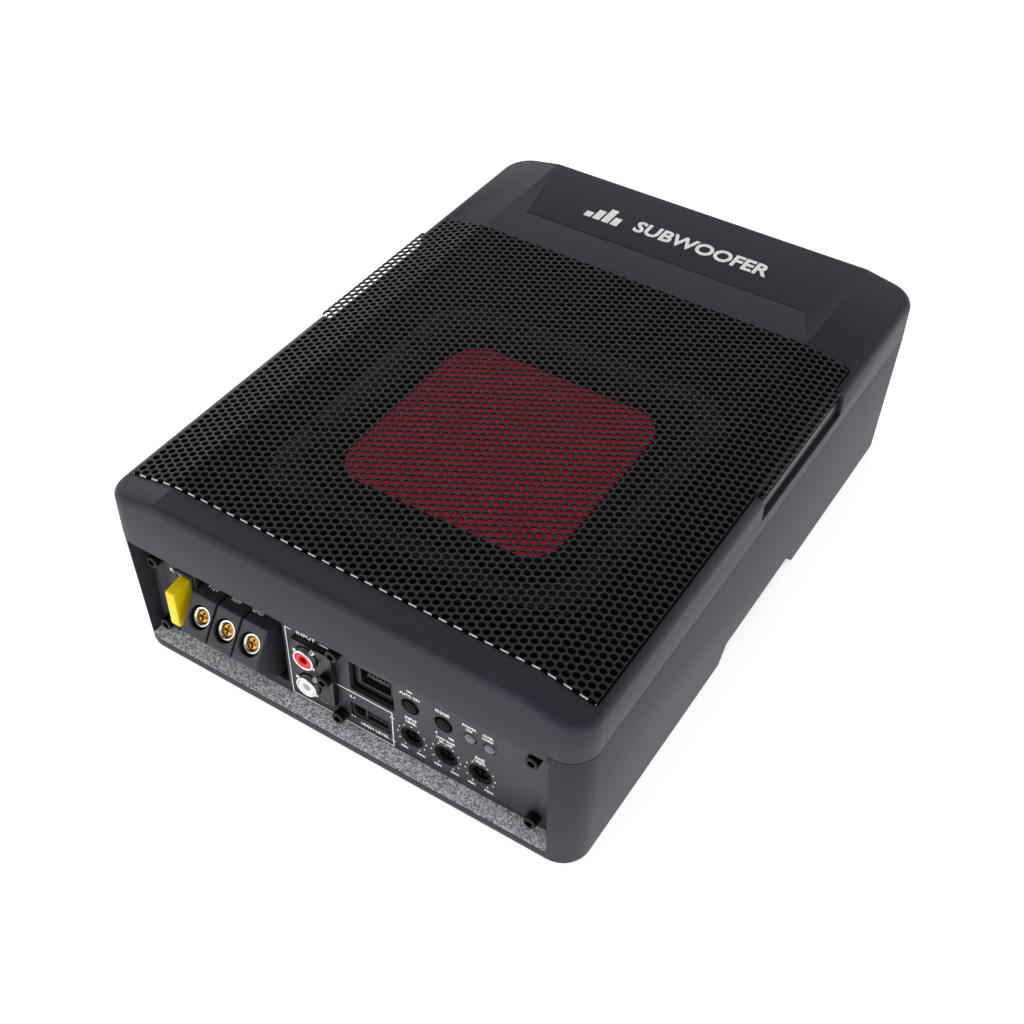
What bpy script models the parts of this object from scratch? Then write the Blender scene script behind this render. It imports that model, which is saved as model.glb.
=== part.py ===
"""Powered under-seat car subwoofer: a closed plastic case, a square-diaphragm woofer behind a steel
grille, and a recessed control panel with its sockets, fuse, knobs and push switches.

Frame: origin in the middle of the underside, +Z up, control panel facing -Y.
Shapes are written in millimetres and turned into metres when their object is made."""

from math import atan2, cos, pi, radians, sin

import bmesh
import bpy
from mathutils import Matrix, Vector

MM = 0.001
GAP = 0.3                       # clearance between pieces that touch

# case
WIDTH = 181.0                   # along X
LENGTH = 250.0                  # along Y
HEIGHT = 75.0
CORNER = 10.0                   # plan radius of the case
TAPER = 1.5                     # the lower case draws in this much on each side
SPLIT_Z = 55.2                  # top of the lower case, where the cover starts
CASE_WALL = 4.5
SKIRT_WALL = 2.5
FLOOR_Z = 4.5
FLAT_HALF = 69.0                # half width of the flat middle of the top
FACET_SLOPE = 0.19              # fall of the sloped strips beside it
ARCH_TOP = 8.7                  # clearance channel across the underside
ARCH_Y = (-30.0, -20.0, 32.0, 43.0)

# grille and its opening
GRILLE_HALF = 86.9
GRILLE_Y = (-113.2, 66.7)
GRILLE_STEEL = 1.0
WINDOW_Y = (-11.0, 53.5)        # slot in each side, under the grille's wider part
WINDOW_Z = 61.5
TAB_EDGE = 88.9                 # the grille reaches this far over each slot
TRIM_X = (87.3, 88.9)
TRIM_TOP = 68.0

# front bay and control panel
BAY_X = (-84.0, 79.0)
PANEL_X = (-83.4, 78.4)
PANEL_FRONT = -117.0
PANEL_STEEL = 2.0
PANEL_BACK = PANEL_FRONT + PANEL_STEEL
FASCIA_Z = 52.5                 # lower edge of the cover above the bay
PILLAR_END = -106.0
BOARD_Y = (-104.0, -102.4)
BACK_OF_PARTS = -104.3
SCREW_X = (-79.0, -3.8, 70.8)
SCREW_Z = (9.6, 40.8)

# woofer
WOOFER_Y = -27.0
DIAPHRAGM_HALF = 42.2
DIAPHRAGM_R = 13.0
BAFFLE_Z = (56.8, 59.8)
BAFFLE_HOLE = (57.5, 20.0)      # half width and corner radius
COIL_R = 19.0
MAGNET_R = 45.0
POLE_R = 17.0
PLATES_Z = (13.0, 18.0, 30.0, 36.0)   # back plate's faces, then top plate's
SPIDER_Z = 46.4

# terminal block
TERMINAL_X = (-63.3, -31.1)
FACE_TOP = (-119.1, 34.6)       # y, z of the sloped face's ends
FACE_LOW = (-127.4, 22.9)
NOSE_LOW = (-125.6, 19.6)       # the nose draws in to here, then slopes back to the panel
TERMINAL_PITCH = (TERMINAL_X[1] - TERMINAL_X[0]) / 3

# small parts on the panel
POTS = {"gain": 24.1, "filter": 37.3, "boost": 50.3}
POT_Z = 15.6
SWITCHES = {"auto_on": 24.0, "phase": 36.7}
SWITCH_Z = 31.4
LEDS = {"power": 46.7, "protect": 53.9}
LED_Z = 31.6
RCA_X = -15.0
RCA_Z = {"left": 19.2, "right": 32.8}
RCA_SCREW = (-7.6, 26.6)
RCA_FRONT = -119.4
FUSE_X = -68.6
FUSE_Z = 27.5


# ---------------------------------------------------------------- shape helpers

def arc(cx, cy, radius, start, end, steps):
    """Points of an arc from start to end degrees."""
    angles = [radians(start + (end - start) * i / steps) for i in range(steps + 1)]
    return [(cx + radius * cos(a), cy + radius * sin(a)) for a in angles]


def rounded_rect(half_x, half_y, radius, steps=5, centre=(0.0, 0.0)):
    """Outline of a rectangle with round corners, anticlockwise."""
    x, y = half_x - radius, half_y - radius
    cx, cy = centre
    corners = ((x, y, 0), (-x, y, 90), (-x, -y, 180), (x, -y, 270))
    points = []
    for px, py, start in corners:
        points += arc(cx + px, cy + py, radius, start, start + 90, steps)
    return points


def bridge(bm, first, second):
    """Quads between two loops of the same length."""
    count = len(first)
    for i in range(count):
        j = (i + 1) % count
        bm.faces.new((first[i], first[j], second[j], second[i]))


def loft(loops, ring=False):
    """Closed body through loops of 3-D points: capped at its ends, or joined into a ring."""
    bm = bmesh.new()
    rings = [[bm.verts.new(p) for p in loop] for loop in loops]
    for first, second in zip(rings, rings[1:]):
        bridge(bm, first, second)
    if ring:
        bridge(bm, rings[-1], rings[0])
    else:
        bm.faces.new(rings[0])
        bm.faces.new(rings[-1])
    return bm


def prism(outline, low, high, axis="z"):
    """Straight prism of a 2-D outline along one axis."""
    place = {
        "x": lambda a, b, t: (t, a, b),
        "y": lambda a, b, t: (a, t, b),
        "z": lambda a, b, t: (a, b, t),
    }[axis]
    return loft([[place(a, b, t) for a, b in outline] for t in (low, high)])


def box(x, y, z):
    """Box from three (low, high) pairs."""
    outline = [(x[0], y[0]), (x[1], y[0]), (x[1], y[1]), (x[0], y[1])]
    return prism(outline, z[0], z[1])


def turned(section, steps=24, ring=False):
    """Body turned about Z from (radius, z) points; a ring section never touches the axis."""
    angles = [2 * pi * i / steps for i in range(steps)]
    return loft([[(r * cos(a), r * sin(a), z) for a in angles] for r, z in section], ring)


def square_ring(section, centre_y=WOOFER_Y, ring=True, steps=5):
    """Ring about the woofer's axis from (half width, corner radius, z) points."""
    loops = []
    for half, radius, z in section:
        outline = rounded_rect(half, half, radius, steps, (0.0, centre_y))
        loops.append([(x, y, z) for x, y in outline])
    return loft(loops, ring)


# ---------------------------------------------------------------- object helpers

def material(name, color, roughness, metallic=0.0):
    """Plain Principled material, made once per name."""
    if name in bpy.data.materials:
        return bpy.data.materials[name]
    mat = bpy.data.materials.new(name)
    mat.use_nodes = True
    shader = mat.node_tree.nodes["Principled BSDF"]
    shader.inputs["Base Color"].default_value = (*color, 1.0)
    shader.inputs["Roughness"].default_value = roughness
    shader.inputs["Metallic"].default_value = metallic
    return mat


def add_object(name, bm, mat=None, origin=(0.0, 0.0, 0.0), tilt=0.0, local=False, smooth=False):
    """Object from a bmesh in millimetres. Its origin is its joint or turning axis; a local shape is
    already drawn about that origin, and tilt turns it about X."""
    shift = Vector((0, 0, 0)) if local else -Vector(origin)
    bmesh.ops.recalc_face_normals(bm, faces=bm.faces)
    bm.transform(Matrix.Scale(MM, 4) @ Matrix.Translation(shift))
    mesh = bpy.data.meshes.new(name)
    bm.to_mesh(mesh)
    bm.free()
    if smooth:
        mesh.shade_smooth()
        mesh.set_sharp_from_angle(angle=radians(35))
    obj = bpy.data.objects.new(name, mesh)
    bpy.context.scene.collection.objects.link(obj)
    obj.location = Vector(origin) * MM
    obj.rotation_euler = (tilt, 0, 0)
    if mat:
        mesh.materials.append(mat)
    return obj


def boolean(obj, bm, operation="DIFFERENCE", origin=(0.0, 0.0, 0.0), tilt=0.0, local=False):
    """Cut, join or intersect an object with a hidden helper shape."""
    helper = add_object(f"{obj.name}_{operation.lower()}", bm, None, origin, tilt, local)
    helper.hide_render = True
    helper.display_type = "WIRE"
    modifier = obj.modifiers.new(operation.title(), "BOOLEAN")
    modifier.operation = operation
    modifier.solver = "EXACT"
    modifier.object = helper
    return helper


FACING_FRONT = -pi / 2          # turns a local +Z to +Y, so a turned part's top points into the panel


def panel_turned(name, section, mat, x, z, steps=24, ring=False, y=PANEL_FRONT):
    """Part turned about a Y axis at (x, z); section is (radius, distance behind the panel front)."""
    body = turned(section, steps, ring)
    return add_object(name, body, mat, (x, y, z), FACING_FRONT, True, True)


def panel_bore(obj, radius, x, z, low, high, steps=24):
    """Round hole along Y from low to high behind the panel front."""
    body = turned([(radius, low), (radius, high)], steps)
    boolean(obj, body, "DIFFERENCE", (x, PANEL_FRONT, z), FACING_FRONT, True)


# ---------------------------------------------------------------- materials

def case_plastic():
    return material("case_plastic", (0.070, 0.072, 0.085), 0.55)


def black_plastic():
    return material("black_plastic", (0.012, 0.012, 0.014), 0.5)


def grille_steel():
    return material("grille_steel", (0.022, 0.023, 0.026), 0.45, 0.0)


def plated_steel():
    return material("plated_steel", (0.62, 0.62, 0.64), 0.25, 1.0)


def black_steel():
    return material("black_steel", (0.03, 0.03, 0.032), 0.35, 1.0)


def brass():
    return material("brass", (0.72, 0.45, 0.20), 0.3, 1.0)


def black_rubber():
    return material("black_rubber", (0.015, 0.015, 0.016), 0.8)


# ---------------------------------------------------------------- case

def make_lower_case():
    """Open tub with the front bay, the channel across its underside and the screw pillars."""
    levels = ((TAPER + 1.0, 0.0), (TAPER, 1.2), (0.0, SPLIT_Z))
    loops = []
    for inset, z in levels:
        outline = rounded_rect(WIDTH / 2 - inset, LENGTH / 2 - inset, CORNER - inset / 2)
        loops.append([(x, y, z) for x, y in outline])
    case = add_object("lower_case", loft(loops), case_plastic())

    inner_x = WIDTH / 2 - CASE_WALL
    inner_y = LENGTH / 2 - CASE_WALL
    bay_back = -112.0
    middle = (bay_back + inner_y) / 2
    cavity = rounded_rect(inner_x, (inner_y - bay_back) / 2, 5.0, 4, (0.0, middle))
    hollow = boolean(case, prism(cavity, FLOOR_Z, SPLIT_Z + 5))
    front, top_front, top_back, back = ARCH_Y
    bump_top = ARCH_TOP + 3.3
    bump = [(front - 6, 0.0), (top_front - 4, bump_top), (top_back + 4, bump_top), (back + 5, 0.0)]
    boolean(hollow, prism(bump, -WIDTH, WIDTH, "x"))

    boolean(case, box(BAY_X, (-LENGTH, bay_back + 1), (FLOOR_Z, SPLIT_Z + 5)))
    arch = [(front - 1.2, -1.0), (top_front, ARCH_TOP), (top_back, ARCH_TOP), (back + 1.2, -1.0)]
    boolean(case, prism(arch, -WIDTH, WIDTH, "x"))

    half = 3.2
    pillar_y = (PANEL_BACK + GAP, PILLAR_END)
    spans = (
        (BAY_X[0] - 1, SCREW_X[0] + half + 1),
        (SCREW_X[1] - half, SCREW_X[1] + half),
        (SCREW_X[2] - half - 1, BAY_X[1] + 1),
    )
    for span in spans:
        boolean(case, box(span, pillar_y, (FLOOR_Z - 1, SCREW_Z[1] + 5)), "UNION")
    for x in SCREW_X:
        for z in SCREW_Z:
            panel_bore(case, 1.6, x, z, 0.0, PILLAR_END - PANEL_FRONT - 1.0, 12)


def top_height(x):
    """Height of the faceted top at x."""
    return HEIGHT - FACET_SLOPE * max(0.0, abs(x) - FLAT_HALF)


def cover_section(half, side_top, drop, low, edge):
    """X-Z outline of the cover's outside or inside, with its facets and soft side edges."""
    facet_end = half - edge
    right = [(half, low), (half, side_top)]
    right.append((half - edge * 0.3, side_top + edge * 0.62))
    right.append((facet_end, top_height(facet_end) - drop))
    right.append((FLAT_HALF, HEIGHT - drop))
    left = [(-x, z) for x, z in reversed(right)]
    return right + left


def make_top_cover():
    """Upper moulding: skirt, fascia over the bay, narrow frame round the grille and rear deck."""
    half = WIDTH / 2
    end = LENGTH / 2
    outside = cover_section(half, 68.8, 0.0, FASCIA_Z, 2.8)
    cover = add_object("top_cover", prism(outside, -end, end, "y"), case_plastic())

    ends = [(-end, FASCIA_Z - 1), (end, FASCIA_Z - 1), (end, HEIGHT - 2.2), (end - 0.6, HEIGHT - 0.8)]
    ends += [(end - 2.2, HEIGHT + 0.1), (2.2 - end, HEIGHT + 0.1)]
    ends += [(0.6 - end, HEIGHT - 0.8), (-end, HEIGHT - 2.2)]
    boolean(cover, prism(ends, -WIDTH, WIDTH, "x"), "INTERSECT")
    boolean(cover, prism(rounded_rect(half, end, CORNER, 7), FASCIA_Z - 2, HEIGHT + 2), "INTERSECT")

    inside = cover_section(half - SKIRT_WALL, 67.6, SKIRT_WALL, FASCIA_Z - 3, 2.0)
    inner_end = end - SKIRT_WALL
    hollow = boolean(cover, prism(inside, -inner_end, inner_end, "y"))
    plan = rounded_rect(half - SKIRT_WALL, inner_end, CORNER - SKIRT_WALL, 7)
    boolean(hollow, prism(plan, FASCIA_Z - 5, HEIGHT + 2), "INTERSECT")

    far = LENGTH
    left, right = BAY_X[0] + GAP, BAY_X[1] - GAP
    skirt_cut = [(-far, -far), (left, -far), (left, 4 - end), (right, 4 - end)]
    skirt_cut += [(right, -far), (far, -far), (far, far), (-far, far)]
    boolean(cover, prism(skirt_cut, FASCIA_Z - 4, SPLIT_Z + GAP))

    opening_x = (-GRILLE_HALF - GAP, GRILLE_HALF + GAP)
    opening_y = (GRILLE_Y[0] - GAP, GRILLE_Y[1] + GAP)
    boolean(cover, box(opening_x, opening_y, (FASCIA_Z, HEIGHT + 5)))
    for side in (-1, 1):
        x = sorted((side * (half - 6), side * (half + 5)))
        boolean(cover, box(x, WINDOW_Y, (WINDOW_Z, HEIGHT + 5)))
    groove_y = 85.3
    boolean(cover, box((-60.5, 60.5), (groove_y - 0.5, groove_y + 0.5), (HEIGHT - 0.8, HEIGHT + 1)))


def make_grille():
    """Pressed steel sheet that follows the facets, with side flanges and a tab over each side slot."""
    edge = GRILLE_HALF
    steel = GRILLE_STEEL
    right = [(edge - steel, 67.4), (edge, 67.4), (edge, top_height(edge)), (FLAT_HALF, HEIGHT)]
    inner = [(FLAT_HALF, HEIGHT - steel), (edge - steel, top_height(edge) - steel)]
    outline = right + [(-x, z) for x, z in reversed(right)]
    outline += [(-x, z) for x, z in reversed(inner)] + inner
    grille = add_object("grille", prism(outline, *GRILLE_Y, "y"), grille_steel())

    root = edge - 2.0
    for side in (-1, 1):
        tab = [(root, top_height(root)), (TAB_EDGE, top_height(TAB_EDGE))]
        tab += [(TAB_EDGE, top_height(TAB_EDGE) - steel), (root, top_height(root) - steel + 0.1)]
        tab = [(side * x, z) for x, z in tab]
        boolean(grille, prism(tab, WINDOW_Y[0] + GAP, WINDOW_Y[1] - GAP, "y"), "UNION")


def make_side_trims():
    """Upright strip in each side slot, standing on the cover's sill below the grille's tab."""
    for name, side in (("left", -1), ("right", 1)):
        x = sorted(side * edge for edge in TRIM_X)
        y = (WINDOW_Y[0] + GAP, WINDOW_Y[1] - GAP)
        add_object(f"side_trim_{name}", box(x, y, (WINDOW_Z + GAP, TRIM_TOP)), black_plastic())


def make_baffle():
    """Board that carries the woofer and closes the air volume."""
    half = WIDTH / 2 - SKIRT_WALL - GAP
    back = LENGTH / 2 - SKIRT_WALL - GAP
    middle = (PANEL_FRONT + back) / 2
    outline = rounded_rect(half, (back - PANEL_FRONT) / 2, CORNER - SKIRT_WALL, 5, (0.0, middle))
    baffle = add_object("baffle", prism(outline, *BAFFLE_Z), black_plastic())
    hole = square_ring([(*BAFFLE_HOLE, BAFFLE_Z[0] - 1), (*BAFFLE_HOLE, BAFFLE_Z[1] + 1)], ring=False)
    boolean(baffle, hole)


def make_case_gasket():
    """Soft seal between the lower case's rim, the panel's top edge and the baffle."""
    half = WIDTH / 2 - SKIRT_WALL - 0.4
    back = LENGTH / 2 - SKIRT_WALL - 0.4
    front = PANEL_FRONT + 0.1
    middle = (front + back) / 2
    reach = (back - front) / 2
    low, high = SPLIT_Z + GAP, BAFFLE_Z[0] - GAP
    loops = []
    for inset, z in ((0.0, low), (0.0, high), (1.8, high), (1.8, low)):
        outline = rounded_rect(half - inset, reach - inset, 8.0 - inset, 5, (0.0, middle))
        loops.append([(x, y, z) for x, y in outline])
    add_object("case_gasket", loft(loops, ring=True), black_rubber())


# ---------------------------------------------------------------- control panel

def make_control_panel():
    """Plate at the back of the bay with every cut-out and screw hole."""
    panel = box(PANEL_X, (PANEL_FRONT, PANEL_BACK), (FLOOR_Z + 0.4, SPLIT_Z - 0.1))
    panel = add_object("control_panel", panel, case_plastic())
    through = (PANEL_FRONT - 5, PANEL_BACK + 5)
    windows = {
        "fuse": ((FUSE_X - 4.2, FUSE_X + 4.2), (FUSE_Z - 11.5, FUSE_Z + 11.5)),
        "terminals": ((TERMINAL_X[0] - GAP, -26.6), (9.6, 42.4)),
        "rca": ((-21.7, -8.4), (13.7, 37.9)),
        "remote": ((0.2, 17.6), (24.4, 38.1)),
        "high_level": ((-0.5, 15.6), (10.9, 17.6)),
    }
    for x, z in windows.values():
        boolean(panel, box(x, through, z))
    holes = [(x, z, 1.7) for x in SCREW_X for z in SCREW_Z]
    holes += [(x, POT_Z, 4.4) for x in POTS.values()]
    holes += [(x, SWITCH_Z, 3.5) for x in SWITCHES.values()]
    holes += [(x, LED_Z, 2.4) for x in LEDS.values()]
    holes.append((*RCA_SCREW, 1.7))
    for x, z, radius in holes:
        panel_bore(panel, radius, x, z, -5.0, 7.0, 20)


def cap_screw(name, x, z, head_out, length, seat=PANEL_FRONT):
    """Black socket-head screw with a collar under its head; seat is the Y of the face it clamps."""
    section = [(0.7, -head_out), (2.3, -head_out), (2.4, -head_out + 0.3)]
    section += [(2.4, -GAP), (1.2, -GAP), (1.2, length)]
    screw = panel_turned(name, section, black_steel(), x, z, 16, y=seat)
    hexagon = turned([(1.25, -head_out - 1), (1.25, -head_out + 1.6)], 6)
    boolean(screw, hexagon, "DIFFERENCE", (x, seat, z), FACING_FRONT, True)


def make_panel_screws():
    number = 1
    for z in SCREW_Z:
        for x in SCREW_X:
            cap_screw(f"panel_screw_{number}", x, z, 3.8, 9.0)
            number += 1


def make_control_board():
    """Upright circuit board that carries the sockets, pots, switches and LEDs."""
    add_object("control_board", box((-73.5, 66.0), BOARD_Y, (8.0, 50.0)),
               material("circuit_board", (0.02, 0.09, 0.045), 0.5))


def make_amplifier_board():
    """Flat circuit board of the amplifier, with its parts on top."""
    board = box((-66.0, 64.0), (BOARD_Y[1] + GAP, -78.5), (8.0, 9.6))
    add_object("amplifier_board", board, material("circuit_board", (0.02, 0.09, 0.045), 0.5))
    for number, x in enumerate((-46.0, -26.0), 1):
        can = turned([(7.6, 0.0), (8.0, 0.5), (8.0, 23.0), (7.4, 23.6)], 20)
        sleeve = material("capacitor_sleeve", (0.02, 0.022, 0.03), 0.35)
        add_object(f"capacitor_{number}", can, sleeve, (x, -90.5, 9.6 + GAP), 0.0, True, True)
    low, fin_low, fin_top = 9.6 + GAP, 15.0, 33.0
    outline = [(2.0, low), (47.0, low)]
    fins, pitch, thick = 8, 6.1, 2.3
    for i in reversed(range(fins)):
        left = 2.0 + pitch * i
        outline += [(left + thick, fin_top), (left, fin_top)]
        if i:
            outline += [(left, fin_low), (left - pitch + thick, fin_low)]
    outline[1] = (2.0 + pitch * (fins - 1) + thick, low)
    sink = material("heat_sink_aluminium", (0.55, 0.56, 0.58), 0.4, 1.0)
    add_object("heat_sink", prism(outline, -100.5, -85.5, "y"), sink)


def make_speaker_lead():
    """Lead from the amplifier board up to the basket."""
    points = ((20.0, -82.6, 11.2), (20.6, -82.2, 20.0), (21.0, -82.0, 30.0))
    points += ((20.6, -82.2, 41.0), (20.0, -82.5, 50.0))
    radius = 1.0
    loops = []
    for x, y, z in points:
        loops.append([(x + dx, y + dy, z) for dx, dy in arc(0, 0, radius, 0, 315, 7)])
    add_object("speaker_lead", loft(loops), material("lead_red", (0.35, 0.02, 0.02), 0.6), smooth=True)


# ---------------------------------------------------------------- screw terminals

FACE_TILT = atan2(FACE_TOP[1] - FACE_LOW[1], FACE_TOP[0] - FACE_LOW[0])
FACE_MID = ((FACE_TOP[0] + FACE_LOW[0]) / 2, (FACE_TOP[1] + FACE_LOW[1]) / 2)


def make_terminals():
    """Block with a sloped face, and in each cell a plated collar, a screw and the plate it presses."""
    back = BACK_OF_PARTS - 0.1
    outline = [(back, 10.0), (PANEL_FRONT - GAP, 10.0), NOSE_LOW, FACE_LOW, FACE_TOP, (back, 34.6)]
    block = add_object("terminal_block", prism(outline, *TERMINAL_X, "x"), black_plastic())
    for number in (1, 2, 3):
        x = TERMINAL_X[0] + TERMINAL_PITCH * (number - 0.5)
        centre = (x, *FACE_MID)
        cuts = (
            turned([(3.9, -3.2), (3.9, 2.0)], 24),
            turned([(2.5, -11.0), (2.5, 0.0)], 16),
            box((-4.0, 4.0), (-3.6, 3.6), (-16.8, -10.0)),
        )
        for shape in cuts:
            boolean(block, shape, "DIFFERENCE", centre, FACE_TILT, True)
        boolean(block, box((x - 4.0, x + 4.0), (-140.0, -107.0), (11.8, 17.7)))

        collar = [(3.1, -0.9), (2.5, -1.6), (2.5, -3.0), (3.6, -3.0), (3.6, -0.9)]
        add_object(f"terminal_collar_{number}", turned(collar, 24, True), plated_steel(),
                   centre, FACE_TILT, True, True)
        screw = add_object(f"terminal_screw_{number}",
                           turned([(1.5, -11.0), (1.5, -4.2), (2.2, -4.0), (2.2, -1.8)], 20), brass(),
                           centre, FACE_TILT, True, True)
        boolean(screw, turned([(1.25, -3.2), (1.25, 0.0)], 6), "DIFFERENCE", centre, FACE_TILT, True)
        clamp = box((-3.6, 3.6), (-2.8, 2.8), (-13.0, -11.0 - GAP))
        add_object(f"wire_clamp_{number}", clamp, plated_steel(), centre, FACE_TILT, True)


# ---------------------------------------------------------------- fuse and sockets

def make_fuse():
    """Blade fuse standing in its holder; it pulls out along -Y."""
    x = (FUSE_X - 4.0, FUSE_X + 4.0)
    z = (FUSE_Z - 11.2, FUSE_Z + 11.2)
    holder = add_object("fuse_holder", box(x, (PANEL_FRONT - 0.5, BACK_OF_PARTS), z), black_plastic())
    boolean(holder, box((FUSE_X - 2.9, FUSE_X + 2.9), (-130.0, -105.6), (FUSE_Z - 9.6, FUSE_Z + 9.6)))
    lower = [(-124.8, FUSE_Z - 7.9), (-116.0, FUSE_Z - 9.2), (-112.5, FUSE_Z - 9.2)]
    shell = lower + [(y, 2 * FUSE_Z - z) for y, z in reversed(lower)]
    half = 2.5
    fuse = add_object("fuse", prism(shell, FUSE_X - half, FUSE_X + half, "x"),
                      material("fuse_yellow", (0.90, 0.62, 0.02), 0.3), (FUSE_X, PANEL_FRONT, FUSE_Z))
    for side in (-1, 1):
        z_blade = sorted((FUSE_Z + side * 2.9, FUSE_Z + side * 7.9))
        boolean(fuse, box((FUSE_X - 0.35, FUSE_X + 0.35), (-113.0, -106.4), z_blade), "UNION")


def make_rca_sockets():
    """Pair of line-level jacks in one housing, with the screw that holds it."""
    flange = box((-21.4, -5.2), (RCA_FRONT, PANEL_FRONT - GAP), (13.2, 38.1))
    housing = add_object("rca_housing", flange, black_plastic())
    boolean(housing, box((-21.2, -8.9), (-119.0, BACK_OF_PARTS), (14.0, 37.6)), "UNION")
    panel_bore(housing, 1.7, *RCA_SCREW, -5.0, 2.0, 16)
    inserts = {"left": (0.80, 0.80, 0.78), "right": (0.62, 0.02, 0.03)}
    for name, z in RCA_Z.items():
        panel_bore(housing, 4.6, RCA_X, z, -5.0, 8.5, 24)
        section = [(1.7, -4.8), (1.7, 6.0), (4.3, 6.0), (4.3, -4.4), (4.0, -4.8)]
        insert = material(f"rca_{name}", inserts[name], 0.3)
        panel_turned(f"rca_jack_{name}", section, insert, RCA_X, z, 24, True)
    cap_screw("rca_screw", *RCA_SCREW, 2.6, 4.2, RCA_FRONT)


def make_data_sockets():
    """Remote-control socket and high-level input socket behind their cut-outs."""
    remote = add_object("remote_socket", box((0.5, 17.3), (PANEL_BACK + GAP, BACK_OF_PARTS), (24.7, 37.8)),
                        black_plastic())
    boolean(remote, box((3.0, 14.8), (-120.0, -106.0), (27.4, 35.4)))
    body = box((-0.2, 15.3), (PANEL_FRONT + 0.3, BACK_OF_PARTS), (11.2, 17.3))
    high = add_object("high_level_socket", body, black_plastic())
    boolean(high, box((0.8, 14.3), (-120.0, -107.0), (12.0, 16.5)))


# ---------------------------------------------------------------- pots, switches, LEDs

def make_pots():
    """Recessed trim pots: each a fixed body and a slotted rotor that turns about Y."""
    for name, x in POTS.items():
        body = [(4.1, 0.2), (4.1, 12.5), (2.9, 12.5), (2.9, 0.2)]
        panel_turned(f"{name}_pot_body", body, black_plastic(), x, POT_Z, 24, True)
        section = [(2.3, 1.6), (2.6, 1.9), (2.6, 11.5), (1.2, 12.0)]
        rotor = panel_turned(f"{name}_pot_rotor", section, black_plastic(), x, POT_Z, 20)
        slot = box((-3.0, 3.0), (-0.45, 0.45), (0.0, 3.0))
        boolean(rotor, slot, "DIFFERENCE", (x, PANEL_FRONT, POT_Z), FACING_FRONT, True)


def make_switches():
    """Push switches: each a fixed body behind the panel and a round button that pushes in."""
    for name, x in SWITCHES.items():
        z = (SWITCH_Z - 4.2, SWITCH_Z + 4.2)
        body = box((x - 4.2, x + 4.2), (PANEL_BACK + GAP, BACK_OF_PARTS), z)
        body = add_object(f"{name}_switch_body", body, black_plastic())
        panel_bore(body, 3.0, x, SWITCH_Z, 0.0, 11.0, 20)
        section = [(2.2, -0.5), (2.6, -0.1), (2.6, 8.6)]
        panel_turned(f"{name}_button", section, black_plastic(), x, SWITCH_Z, 20)


def make_leds():
    """Two round indicator lamps."""
    for name, x in LEDS.items():
        section = [(0.8, -0.9), (1.6, -0.6), (2.0, 0.0), (2.0, 2.4)]
        section += [(2.8, 2.4), (2.8, 3.4), (2.0, 3.4), (2.0, 12.4)]
        panel_turned(f"{name}_led", section, material("led_clear", (0.75, 0.78, 0.80), 0.1), x, LED_Z, 20)


# ---------------------------------------------------------------- woofer

def make_woofer_frame():
    """Basket, clamp ring and magnet assembly, all fixed to the baffle."""
    top = BAFFLE_Z[1] + GAP + 2.0
    section = [(63.0, 22.0, top), (63.0, 22.0, top - 2.0), (56.8, 20.0, top - 2.0), (48.0, 44.0, 36.3)]
    section += [(22.0, 22.0, 36.3), (22.0, 22.0, 38.5), (45.5, 42.0, 38.5), (47.5, 40.0, 45.2)]
    section += [(54.2, 18.0, top - 1.7), (54.2, 18.0, top)]
    basket = add_object("woofer_basket", square_ring(section), black_steel())
    slot_half, slot_z = 12.0, (42.0, 55.0)
    boolean(basket, box((-slot_half, slot_half), (WOOFER_Y - 70, WOOFER_Y + 70), slot_z))
    boolean(basket, box((-70.0, 70.0), (WOOFER_Y - slot_half, WOOFER_Y + slot_half), slot_z))

    ring_low = top + 0.9
    ring_top = ring_low + 1.8
    ring = [(61.5, 21.0, ring_top), (61.5, 21.0, ring_low), (52.6, 17.0, ring_low)]
    ring += [(52.6, 17.0, ring_low + 1.2), (53.4, 17.5, ring_top)]
    add_object("clamp_ring", square_ring(ring), black_steel())

    axis = (0.0, WOOFER_Y, 0.0)
    low, yoke_top, plate_low, plate_top = PLATES_Z
    plate_r, plate_bore, magnet_bore = 42.0, 20.3, 24.0
    plate = [(plate_bore, plate_low), (plate_r, plate_low), (plate_r, plate_top), (plate_bore, plate_top)]
    add_object("top_plate", turned(plate, 32, True), plated_steel(), axis, 0.0, True, True)
    ferrite = material("ferrite", (0.045, 0.045, 0.05), 0.7)
    faces = (yoke_top + GAP, plate_low - GAP)
    block = [(magnet_bore, faces[0]), (MAGNET_R, faces[0])]
    block += [(MAGNET_R, faces[1]), (magnet_bore, faces[1])]
    add_object("magnet", turned(block, 32, True), ferrite, axis, 0.0, True, True)
    yoke = [(plate_r - 1.0, low), (plate_r, low + 0.6), (plate_r, yoke_top)]
    yoke += [(POLE_R, yoke_top), (POLE_R, plate_top)]
    add_object("back_plate", turned(yoke, 32), plated_steel(), axis, 0.0, True, True)


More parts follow.
